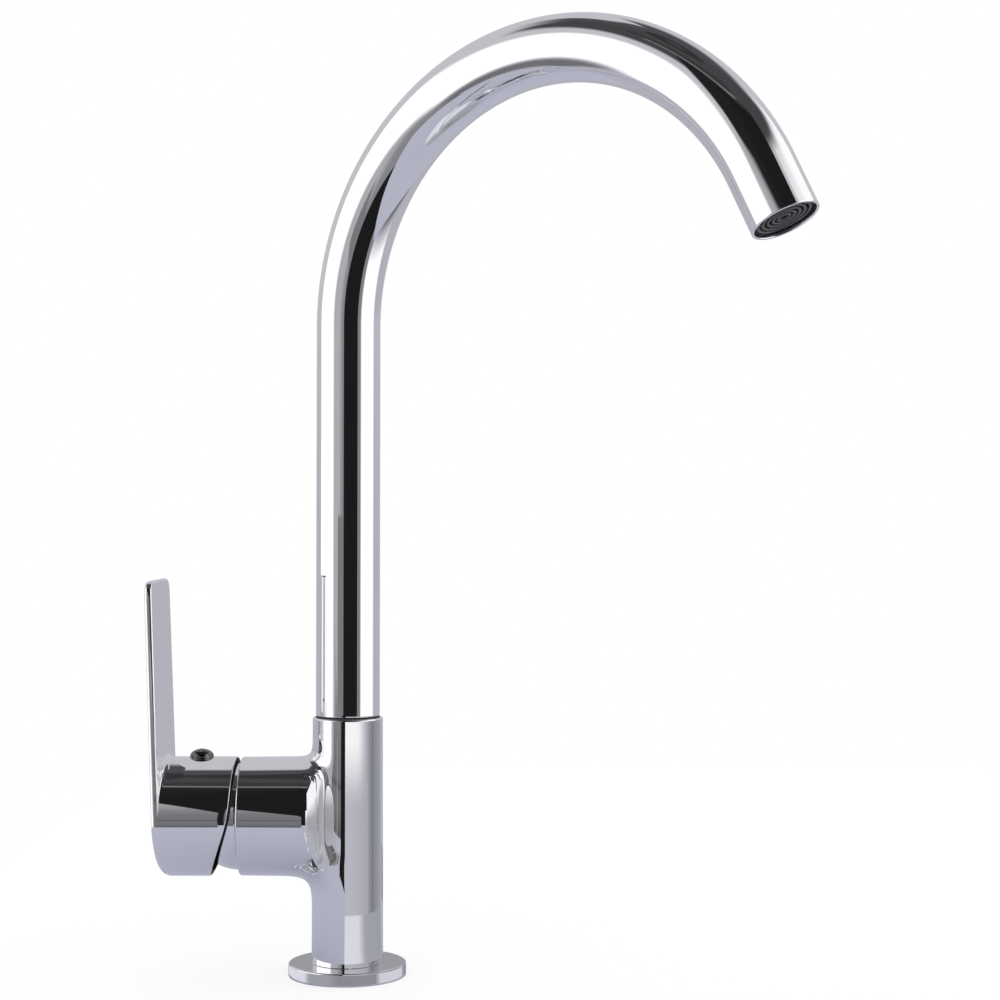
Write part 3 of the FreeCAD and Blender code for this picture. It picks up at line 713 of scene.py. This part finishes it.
def body_field(x, y, z):
    """Column and cross housing with their waterways."""
    out = -x
    up = z - axis_z
    share = (z - flange_height) / (column_top - flange_height)
    column_radius = column_foot_radius + share * (column_top_radius - column_foot_radius)
    column = np.hypot(x, y) - column_radius
    share = (housing_face - out) / (housing_face - shoulder)
    housing = np.hypot(y, up) - (housing_radius + share * housing_draft)
    housing = -join(-housing, out - shoulder, shoulder_round)
    housing = meet(housing, out - housing_face, housing_edge)
    rise = eased(up, -housing_radius, housing_radius)
    blend = blend_below + (blend_above - blend_below) * rise
    rise = eased(up, *blend_low_to_high)
    beside = blend_beside_low + (blend_beside - blend_beside_low) * rise
    blend = blend + (beside - blend) * eased(np.abs(y), *blend_side_start)
    solid = join(column, housing, blend)
    solid = meet(solid, z - column_top, column_edge)
    solid = np.maximum(solid, flange_height - z)
    tail = np.maximum(np.hypot(x, y) - tail_radius, -z)
    solid = np.minimum(solid, np.maximum(tail, z - flange_height - 1))
    chamber = np.maximum(np.hypot(y, up) - chamber_radius, chamber_start - out)
    thread = np.maximum(np.hypot(y, up) - thread_radius, thread_start - out)
    socket = np.maximum(np.hypot(x, y) - socket_radius, socket_floor - z)
    hollows = np.minimum(np.minimum(chamber, thread), socket)
    hollows = np.minimum(hollows, np.maximum(np.hypot(x, y) - stud_radius, z - stud_depth))
    for number in range(inlet_count):
        angle = number * math.pi * 2 / inlet_count
        beyond = x - inlet_circle * math.cos(angle)
        across = np.hypot(beyond, y - inlet_circle * math.sin(angle))
        hollows = np.minimum(hollows, np.maximum(across - inlet_radius, z - inlet_depth))
    return meet(solid, -hollows, bore_edge)


def as_it_is(x, y, z):
    """Grid that needs no bending."""
    return x, y, z


def make_body():
    """Body casting. Its grid is fine at the rim, the soft shoulder, the foot and the top."""
    face = -housing_face
    along = graded(face - 1.25, (face + 1.5, 0.25), (-24.0, 0.8), (17.0, 0.5))
    across = graded(-housing_radius - 1.6, (housing_radius + 1.6, 0.5))
    upright = graded(-1.1, (5.0, 0.9), (6.2, 0.4), (26.0, 1.2), (column_top - 8, 0.5),
                     (column_top - 1, 1.0), (column_top + 1, 0.2))
    body = field_piece("chrome_body", body_field, (along, across, upright), as_it_is)
    stand_in(body, "body_casting", "tap_body", "chrome")


def rim_reach(up):
    """Pivot to the cap's rim at a height on the cartridge axis."""
    drop = cap_rim_softness * np.logaddexp(0, (cap_rim_knee - up) / cap_rim_softness)
    return cap_rim_top + cap_rim_lean * (cap_radius - up) + cap_rim_flare * drop


def lever_field(x, y, z):
    """Cap and blade in one casting."""
    out = -x - pivot
    up = z - axis_z
    lean = math.radians(blade_lean)
    taper = math.radians(blade_taper)
    face = (out - cap_reach - up * math.tan(lean)) * math.cos(lean)
    back = -face - blade_thickness
    round_part = np.hypot(y, up) - cap_radius
    side = np.abs(y) * math.cos(taper) + up * math.sin(taper) - cap_radius
    above = up * math.cos(taper) - np.abs(y) * math.sin(taper) > 0
    outline = meet(np.where(above, side, round_part), up - blade_height, blade_corner)
    growth = eased(-up, cap_low_edge_start, cap_radius)
    edge = blade_outer_edge + (cap_low_edge - blade_outer_edge) * growth
    blade = meet(meet(outline, face, edge), back, blade_inner_edge)
    cap = meet(meet(round_part, face, edge), rim_reach(up) - out, cap_rim_round)
    reach = blade_fillet * eased(up, *fillet_up) * eased(-face, *fillet_back)
    reach = reach * (1 - eased(np.abs(y), *fillet_out))
    solid = join(blade, cap, np.maximum(reach, 0.001))
    cavity = np.maximum(np.hypot(y, up) - cap_bore, out - (cap_reach - cap_end_wall))
    boss = np.maximum(np.hypot(y, up) - boss_radius, boss_start - out)
    return meet(solid, -np.maximum(cavity, -boss), bore_edge)


def lever_place(along, across, height):
    """Grid that follows the cap's rim and round, the blade's two faces and its taper."""
    bow = cap_radius * np.sqrt(1 - np.minimum((across / (cap_radius + 0.4)) ** 2, 0.98))
    stretch = (blade_height - bow) / (blade_height - cap_radius)
    raised = bow + (height - cap_radius) * stretch
    up = np.where(height > cap_radius, raised, height * bow / cap_radius)
    up = np.where(height < -cap_radius, height + cap_radius - bow, up)
    taper = math.radians(blade_taper)
    half = np.where(up > 0, (cap_radius - up * math.sin(taper)) / math.cos(taper), cap_radius)
    rim = rim_reach(np.clip(up, -cap_radius, cap_radius))
    lean = math.radians(blade_lean)
    inner = cap_reach + up * math.tan(lean) - blade_thickness / math.cos(lean)
    out = np.where(along < 0, rim + along, rim + (inner - rim) * along / cap_reach)
    out = np.where(along > cap_reach, inner + along - cap_reach, out)
    return -pivot - out, across * half / cap_radius, axis_z + up


def make_lever():
    """Lever handle. Its grid is fine at the rim, the edges and the blade's two faces."""
    end = cap_reach + blade_thickness
    along = graded(-1.2, (1.8, 0.2), (cap_reach - 3.5, 1.4), (cap_reach - 1.0, 0.5),
                   (cap_reach + 1.2, 0.15), (end - 1.6, 0.5), (end + 1.2, 0.18))
    edge = cap_radius - 3.0
    fine = ((-cap_radius - 0.6, 0.3), (-cap_radius + 1.6, 0.15), (-edge, 0.35))
    across = graded(-cap_radius - 1.2, *fine, (edge, 0.9), (cap_radius - 1.6, 0.35),
                    (cap_radius + 0.6, 0.15), (cap_radius + 1.2, 0.3))
    height = graded(-cap_radius - 1.2, (-edge, 0.3), (edge, 0.9), (cap_radius + 3.0, 0.3),
                    (blade_height - 8, 1.8), (blade_height + 1.2, 0.35))
    lever = field_piece("chrome_lever", lever_field, (along, across, height), lever_place)
    stand_in(lever, "lever_handle", "lever", "chrome", "lever_chrome_painted_bore_shade")


def make_lever_screw():
    """Domed socket screw on the cap's crown."""
    low = -math.asin(screw_head_middle / screw_head_dome)
    high = math.acos(screw_socket_radius / screw_head_radius)
    points, normals = [], []
    for step in range(screw_dome_steps + 1):
        angle = low + (high - low) * step / screw_dome_steps
        height = screw_seat + screw_head_middle + screw_head_dome * math.sin(angle)
        points.append((height, screw_head_radius * math.cos(angle)))
        normals.append((math.sin(angle) / screw_head_dome, math.cos(angle) / screw_head_radius))
    top = points[-1][0]
    bottom = points[0]
    socket = screw_socket_radius - screw_socket_edge
    floor = top - screw_socket_depth
    rest = [
        (top - screw_socket_lead, socket, 0, -1),
        (floor, socket, 0, -1),
        (floor, socket, 1, 0),
        (floor, screw_core, 1, 0),
        (floor, screw_core, 0, -1),
        (screw_shank_end, screw_core, 0, -1),
        (screw_shank_end, screw_core, -1, 0),
        (screw_shank_end, screw_shank_radius, -1, 0),
        (screw_shank_end, screw_shank_radius, 0, 1),
        (screw_seat, screw_shank_radius, 0, 1),
        (screw_seat, screw_shank_radius, -1, 0),
        (bottom[0], bottom[1], -1, 0),
    ]
    points += [(height, radius) for height, radius, _, _ in rest]
    normals += [(lean, face) for _, _, lean, face in rest]
    normals = np.array(normals, float)
    normals /= np.linalg.norm(normals, axis=1, keepdims=True)
    outline = (np.array(points), normals)
    screw = swept("dark_lever_screw", outline, straight_path, screw_turn_steps)
    screw.data.transform(Matrix.Translation(((-pivot - screw_reach) * mm, 0, axis_z * mm)))
    stand_in(screw, "lever_screw", "lever", "black_nickel")


# --- Outlet -------------------------------------------------------------------
def to_mouth(piece):
    """Put a piece built upright into the spout's mouth, +Z pointing inwards."""
    turn = math.radians(bend_angle)
    out = bend_radius * (1 - math.cos(turn)) + tip_length * math.sin(turn)
    up = bend_height + bend_radius * math.sin(turn) + tip_length * math.cos(turn)
    swing = Matrix.Rotation(math.radians(spout_azimuth), 4, "Z")
    place = Matrix.Translation((out * mm, 0, up * mm))
    piece.data.transform(swing @ place @ Matrix.Rotation(turn + math.pi, 4, "Y"))


def make_outlet_cup():
    """Cup of the aerator with its flange, in a darker copy of the dark plastic: painted shade of
    its recess.
    """
    corners = [
        (cup_front, cup_radius - 0.1, 0.2),
        (cup_flange_end, cup_radius - 0.1, 0.1),
        (cup_flange_end, cup_bore, 0.1),
        (cup_end, cup_bore, 0.2),
        (cup_end, cup_radius, 0.2),
        (cup_flange_end, cup_radius, 0.05),
        (cup_flange_end, cup_flange_radius, 0.1),
        (cup_front, cup_flange_radius, 0.2),
    ]
    cup = swept("dark_outlet_cup", rounded_outline(corners), straight_path)
    to_mouth(cup)
    stand_in(cup, "aerator_housing", "spout", "dark_plastic", "cup_plastic")


def make_outlet_rings():
    """Concentric rings round the filtered water's nozzle, on crossed ribs."""
    parts = []
    for number in range(ring_count):
        outer = ring_outer - number * ring_pitch
        corners = [
            (recess, outer - ring_width, 0.25),
            (recess + ring_depth, outer - ring_width, 0.1),
            (recess + ring_depth, outer, 0.1),
            (recess, outer, 0.25),
        ]
        parts.append(spun(rounded_outline(corners), straight_path, ring_turn_steps))
    for number in range(rib_count):
        parts.append(rib(math.radians(360 / rib_count * (number + 0.5))))
    rings = smooth_mesh("grey_outlet_rings", *merged(parts))
    to_mouth(rings)
    stand_in(rings, "aerator_grille", "spout", "dark_plastic")


def rib(angle):
    """Radial bar behind the outlet's rings."""
    radii = (ring_outer - ring_count * ring_pitch + ring_width, ring_outer - rib_inset)
    widths = (-rib_half_width, rib_half_width)
    depths = (recess + rib_recess, recess + ring_depth - rib_clearance)
    box = [(radius, width, depth) for radius in radii for width in widths for depth in depths]
    sides = [    # four corners of the box and their normal
        (0, 1, 3, 2, -1, 0, 0),
        (4, 6, 7, 5, 1, 0, 0),
        (0, 4, 5, 1, 0, -1, 0),
        (2, 3, 7, 6, 0, 1, 0),
        (0, 2, 6, 4, 0, 0, -1),
        (1, 5, 7, 3, 0, 0, 1),
    ]
    places = np.array([box[corner] for side in sides for corner in side[:4]], float)
    normals = np.array([side[4:] for side in sides for _ in range(4)], float)
    cosine, sine = math.cos(angle), math.sin(angle)
    spin = np.array(((cosine, -sine, 0), (sine, cosine, 0), (0, 0, 1)))
    return places @ spin.T, np.arange(24).reshape(6, 4)[:, ::-1], normals @ spin.T


# --- Light and stage ------------------------------------------------------------
class Sky(Nodes):
    """World shader built from zones of direction. Azimuth 0 is towards the camera, 90 is +X."""

    def __init__(self):
        self.world = bpy.data.worlds.new("studio")
        bpy.context.scene.world = self.world
        self.world.use_nodes = True
        self.world.cycles.sampling_method = "NONE"
        self.nodes = self.world.node_tree.nodes
        self.links = self.world.node_tree.links
        direction = self.nodes.new("ShaderNodeTexCoord").outputs["Generated"]
        split = self.nodes.new("ShaderNodeSeparateXYZ")
        self.links.new(direction, split.inputs[0])
        back = self.math("MULTIPLY", split.outputs["Y"], -1.0)
        azimuth = self.math("ARCTAN2", split.outputs["X"], back)
        elevation = self.math("ARCSINE", split.outputs["Z"])
        self.azimuth = self.math("DEGREES", azimuth)
        self.elevation = self.math("DEGREES", elevation)

    def mask(self, azimuths, elevations, blur):
        """1 inside a range of azimuth and elevation, with blurred edges."""
        factor = None
        kinds = ((self.azimuth, azimuths, 180.0), (self.elevation, elevations, 90.0))
        for (angle, (low, high), limit), soft in zip(kinds, blur):
            for edge, sign in ((low, 1.0), (high, -1.0)):
                if abs(edge) >= limit:
                    continue
                step = self.rise(angle, edge - sign * soft / 2, edge + sign * soft / 2)
                factor = step if factor is None else self.math("MULTIPLY", factor, step)
        return factor


def grey(level, cool=1.06):
    """Studio grey, slightly cool."""
    return (level, level, level * cool)


# Azimuth range, elevation range, blur of each, level. Later zones cover earlier ones.
studio_zones = [
    ((-180, 180), (5, 90), (0, 14), grey(0.56)),           # upper part of the far room
    ((-180, 180), (56, 90), (0, 14), grey(0.075)),         # ceiling
    ((-180, -145), (5, 71), (10, 5), grey(0.56)),          # far wall up to it
    ((-114, 112), (50, 90), (16, 8), grey(0.060)),         # darker part of it overhead
    ((-180, 180), (81, 87), (0, 2), grey(0.035)),          # seams in the ceiling
    ((-75, 30), (67, 73), (6, 2), grey(0.042)),
    ((-180, 180), (-90, -51), (0, 4), grey(0.52, 1.18)),   # table, beyond the floor's edge
    ((-110, 130), (-49, -33), (14, 8), grey(0.17)),        # dark edge round the table
    ((-112, -50), (-28, 35), (8, 9), grey(1.25, 1.0)),     # left softbox
    ((-47, -9), (-46, 22), (8, 6), grey(0.25)),            # wall between softbox and camera
    ((-50, -24), (-22, 24), (16, 16), grey(0.44)),         # lighter part of it beside the softbox
    ((-41, -8), (24, 63), (4, 8), grey(0.016, 1.0)),       # dark upper wall
    ((-13, 38), (-45, 62), (3, 6), grey(0.012, 1.0)),      # dark room behind the camera
    ((-60, 20), (63.6, 65.2), (4, 0.8), grey(0.26)),       # bright slit high up
    ((38, 51), (-45, 40), (3, 5), grey(0.22)),             # strip beside the dark room
    ((50, 106), (-24, 47), (7, 16), grey(1.15, 1.0)),      # right softbox
    ((90, 128), (25, 47), (8, 10), grey(1.05, 1.0)),       # its upper wing
]


def make_sky():
    """White for the camera, the studio for reflections, an even light for the rest."""
    sky = Sky()
    colour = room_colour
    for azimuths, elevations, blur, level in studio_zones:
        factor = sky.mask(azimuths, elevations, blur)
        colour = sky.mix(factor, colour, level)
    light = sky.nodes.new("ShaderNodeLightPath")
    through = light.outputs["Is Transmission Ray"]
    reflected = sky.math("MAXIMUM", light.outputs["Is Glossy Ray"], through)
    seen = sky.mix(reflected, grey(diffuse_level, 1.0), colour)
    seen = sky.mix(light.outputs["Is Camera Ray"], seen, (white_level,) * 3)
    background = sky.nodes["Background"]
    sky.links.new(seen, background.inputs["Color"])


class StageMaterial(Nodes):
    """Node material without a Principled shader."""

    def __init__(self, name):
        self.material = bpy.data.materials.new(name)
        self.material.use_nodes = True
        self.nodes = self.material.node_tree.nodes
        self.links = self.material.node_tree.links
        self.nodes.remove(self.nodes["Principled BSDF"])
        self.surface = self.nodes["Material Output"].inputs["Surface"]


def stage_sheet(name, places, faces, material):
    """Thin stage piece."""
    mesh = bpy.data.meshes.new(name)
    mesh.from_pydata(places, [], faces)
    sheet = bpy.data.objects.new(name, mesh)
    bpy.context.scene.collection.objects.link(sheet)
    mesh.materials.append(material)
    return sheet


def floor_material():
    """Pale table: its own colour for light and reflections, lifted to white for the camera."""
    tree = StageMaterial("pale_table")
    seen = tree.nodes.new("ShaderNodeLightPath").outputs["Is Camera Ray"]
    diffuse = tree.nodes.new("ShaderNodeBsdfDiffuse")
    emission = tree.nodes.new("ShaderNodeEmission")
    both = tree.nodes.new("ShaderNodeAddShader")
    tint = tree.mix(seen, floor_colour, (floor_grey,) * 3)
    tree.links.new(tint, diffuse.inputs["Color"])
    tree.links.new(tree.math("MULTIPLY", seen, floor_lift), emission.inputs["Strength"])
    tree.links.new(diffuse.outputs[0], both.inputs[0])
    tree.links.new(emission.outputs[0], both.inputs[1])
    tree.links.new(both.outputs[0], tree.surface)
    return tree.material


def make_floor():
    """Table under the tap."""
    corners = [(floor_x[i], floor_y[j], 0.0) for i, j in ((0, 0), (1, 0), (1, 1), (0, 1))]
    stage_sheet("floor", corners, [(0, 1, 2, 3)], floor_material())


def card_material(name, stops, around, lift=None):
    """Glow that changes with the height in millimetres, or with the azimuth round the column.

    A lift brightens one end of its azimuths towards the top: (heights, azimuths, level).
    """
    tree = StageMaterial(name)
    tree.material.cycles.emission_sampling = "NONE"
    split = tree.nodes.new("ShaderNodeSeparateXYZ")
    tree.links.new(tree.nodes.new("ShaderNodeTexCoord").outputs["Object"], split.inputs[0])
    if around:
        back = tree.math("MULTIPLY", split.outputs["Y"], -1.0)
        angle = tree.math("ARCTAN2", split.outputs["X"], back)
        share = tree.math("ADD", tree.math("DIVIDE", angle, 2 * math.pi), 0.5)
    else:
        share = tree.math("DIVIDE", split.outputs["Z"], ramp_top * mm)
    ramp = tree.nodes.new("ShaderNodeValToRGB")
    ramp.color_ramp.elements.remove(ramp.color_ramp.elements[1])
    while len(ramp.color_ramp.elements) < len(stops):
        ramp.color_ramp.elements.new(1.0)
    for element, (value, colour) in zip(ramp.color_ramp.elements, stops):
        element.position = value / 360 + 0.5 if around else value / ramp_top
        element.color = (*colour, 1.0)
    tree.links.new(share, ramp.inputs["Fac"])
    colour = ramp.outputs["Color"]
    if lift:
        heights, azimuths, level = lift
        risen = tree.rise(split.outputs["Z"], heights[0] * mm, heights[1] * mm)
        near = tree.rise(angle, math.radians(azimuths[0]), math.radians(azimuths[1]))
        colour = tree.mix(tree.math("MULTIPLY", risen, near), colour, grey(level, 1.0))
    emission = tree.nodes.new("ShaderNodeEmission")
    tree.links.new(colour, emission.inputs["Color"])
    tree.links.new(emission.outputs[0], tree.surface)
    return tree.material


def reflected_sheet(name, lower, upper, stops, around=False, lift=None):
    """Sheet between two lines of millimetre places, seen in reflections only."""
    count = len(lower)
    places = [tuple(value * mm for value in place) for place in (*lower, *upper)]
    faces = [(i, i + 1, count + i + 1, count + i) for i in range(count - 1)]
    sheet = stage_sheet(name, places, faces, card_material(name, stops, around, lift))
    sheet.visible_camera = False
    sheet.visible_diffuse = False
    sheet.visible_shadow = False
    sheet.visible_transmission = False


def make_card(name, foot, bottom, top, stops):
    """Upright card on a line; stops are (height, level), a level may be a colour."""
    bottoms = np.linspace(*bottom, len(foot))
    tops = np.linspace(*top, len(foot))
    lower = [(*place, height) for place, height in zip(foot, bottoms)]
    upper = [(*place, height) for place, height in zip(foot, tops)]
    colours = []
    for height, level in stops:
        colours.append((height, level if isinstance(level, tuple) else grey(level)))
    reflected_sheet(name, lower, upper, colours)


def arc(radius, first, last):
    """Places on an arc round the column; azimuth 0 is towards the camera."""
    angles = [math.radians(angle) for angle in np.linspace(first, last, arc_places)]
    return [(radius * math.sin(angle), -radius * math.cos(angle)) for angle in angles]


def make_band(name, radius, azimuths, heights, stops, lift=None):
    """Upright band round the column; stops are (azimuth, level)."""
    foot = arc(radius, *azimuths)
    lower, upper = ([(*place, height) for place in foot] for height in heights)
    colours = [(azimuth, grey(level, band_cool)) for azimuth, level in stops]
    reflected_sheet(name, lower, upper, colours, True, lift)


def make_glow(name, inner, outer, azimuths, stops):
    """Part of a ring lying on the table round the column; stops are (azimuth, level)."""
    lower = [(*place, glow_height) for place in arc(inner, *azimuths)]
    upper = [(*place, glow_height) for place in arc(outer, *azimuths)]
    colours = [(azimuth, grey(level, glow_cool)) for azimuth, level in stops]
    reflected_sheet(name, lower, upper, colours, True)


# Levels of the cards by height, and of the bands and the glow by azimuth.
wall_levels = (
    (45, 0.12), (50, 0.135), (58, 0.185), (67, 0.18), (70, 0.115), (73, 0.18), (90, 0.195),
    (104, 0.24), (125, 0.34),
)
shoulder_levels = ((46, card_colour), (58, 0.46), (66, 0.38), (73, 0.42), (84, 1.0))
right_levels = (
    (-4, 0.50), (10, 0.50), (36, 0.47), (50, 0.44), (66, 0.42), (76, 0.28), (86, 0.25),
    (88.5, 0.15), (91, 0.26), (104, 0.29), (119, 0.34), (135, 0.40),
)
right_lift = ((60, 97), (68, 30), 0.98)
flange_levels = (
    (-92, 0.33), (-87, 0.78), (-45, 0.74), (-38, 0.36), (-16, 0.36), (-5, 0.27), (34, 0.28),
    (40, 0.66), (76, 0.66), (82, 0.30), (180, 0.27),
)
glow_levels = ((-4, 0.74), (38, 0.72), (50, 0.50), (60, 0.38), (135, 0.36))

# Name, its line on the table from (x, y) to (x, y), heights of its bottom and top at the line's
# two ends, levels.
cards = [
    ("cap_card", [(-105, -120), (-66.7, -120)], (45, 45), (147, 98), wall_levels),
    ("housing_card", [(-63.5, -120), (-24, -120)], (45, 45), (112, 82), wall_levels),
    ("black_strip", [(-11.7, -45), (-2.2, -45)], (43, 32.5), (112, 112), ((0, 0.012),)),
    ("shoulder_card", [(-3.3, -19.6), (-11.9, -45.4)], (36, 36), (112, 112), shoulder_levels),
    ("back_card", [(-75, 80), (75, 80)], (16, 16), (42, 42), ((0, 0.34),)),
    ("left_card", [(-222, -260), (-222, 140)], (0, 0), (34, 34), ((0, card_colour),)),
    ("far_card", [(-600, -900), (-225, -900)], (0, 0), (200, 200), ((0, 0.20),)),
]


def make_cards():
    """Cards, bands and a glow round the tap that its low parts reflect."""
    for card in cards:
        make_card(*card)
    make_band("right_band", 110, (-4.3, 135), (10.7, 104), right_levels, right_lift)
    make_band("flange_band", 27.5, (-180, 180), (0.3, 5.2), flange_levels)
    make_glow("column_glow", 50, 170, (-4.3, 135), glow_levels)


def make_camera():
    """Camera at the photograph's viewpoint."""
    data = bpy.data.cameras.new("camera")
    data.lens = focal_length
    data.sensor_width = sensor_width
    camera = bpy.data.objects.new("camera", data)
    bpy.context.scene.collection.objects.link(camera)
    bpy.context.scene.camera = camera
    ahead = Vector((0, math.cos(camera_pitch), math.sin(camera_pitch)))
    side = Vector((1, 0, 0))
    above = side.cross(ahead)
    right = side * math.cos(camera_roll) + above * math.sin(camera_roll)
    up = above * math.cos(camera_roll) - side * math.sin(camera_roll)
    turn = Matrix((right, up, -ahead)).transposed().to_4x4()
    camera.matrix_world = Matrix.Translation(camera_place) @ turn


dress_cad_nodes()
make_spout_tube()
make_base_flange()
make_bonnet_ring()
make_body()
make_lever()
make_lever_screw()
make_outlet_cup()
make_outlet_rings()
make_sky()
make_floor()
make_cards()
make_camera()
bpy.context.scene.view_settings.view_transform = "Standard"
